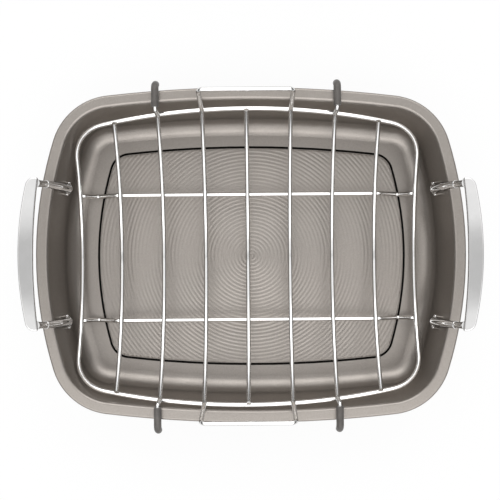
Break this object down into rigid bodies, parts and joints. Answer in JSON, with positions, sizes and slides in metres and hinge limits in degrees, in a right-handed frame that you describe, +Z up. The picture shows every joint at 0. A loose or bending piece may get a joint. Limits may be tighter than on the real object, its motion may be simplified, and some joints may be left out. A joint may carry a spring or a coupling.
{
  "type": "roasting pan with rack",
  "caption": "Rectangular nonstick roasting pan with a flat rim and upright strap handles, and a lift-out curved wire rack that hangs inside it on sleeved hooks.",
  "frame": {"origin": "centre of the pan's underside, on its surface", "axes": "+X along the pan's long side to the right handle, +Y to the rear long side, +Z up"},
  "size_m": [0.4414, 0.3556, 0.1362],
  "materials": {
    "pan_coating": "grey metallic nonstick coating, satin, on sheet metal",
    "handle_metal": "polished cast metal",
    "rack_wire": "bright plated round wire",
    "sleeve_silicone": "matte dark silicone",
    "screw_steel": "plain stainless steel"
  },
  "bodies": {
    "pan": {"pan_body": "pan_coating", "right_grip": "handle_metal", "left_grip": "handle_metal", "right_rear_post": "handle_metal", "right_front_post": "handle_metal", "left_rear_post": "handle_metal", "left_front_post": "handle_metal", "right_rear_collar": "handle_metal", "right_front_collar": "handle_metal", "left_rear_collar": "handle_metal", "left_front_collar": "handle_metal", "handle_screws": "screw_steel", "screw_washers": "screw_steel"},
    "rack": {"rack_loop": "rack_wire", "cross_wire_left": "rack_wire", "cross_wire_middle": "rack_wire", "cross_wire_right": "rack_wire", "hook_wire_left": "rack_wire", "hook_wire_right": "rack_wire", "lift_wire": "rack_wire", "long_wire_rear": "rack_wire", "long_wire_front": "rack_wire", "sleeve_left_rear": "sleeve_silicone", "sleeve_left_front": "sleeve_silicone", "sleeve_right_rear": "sleeve_silicone", "sleeve_right_front": "sleeve_silicone"}
  },
  "joints": [
    {"name": "rack_lift", "type": "slide", "parent": "pan", "child": "rack", "axis": [0, 0, 1], "range_m": [0, 0.14]}
  ]
}
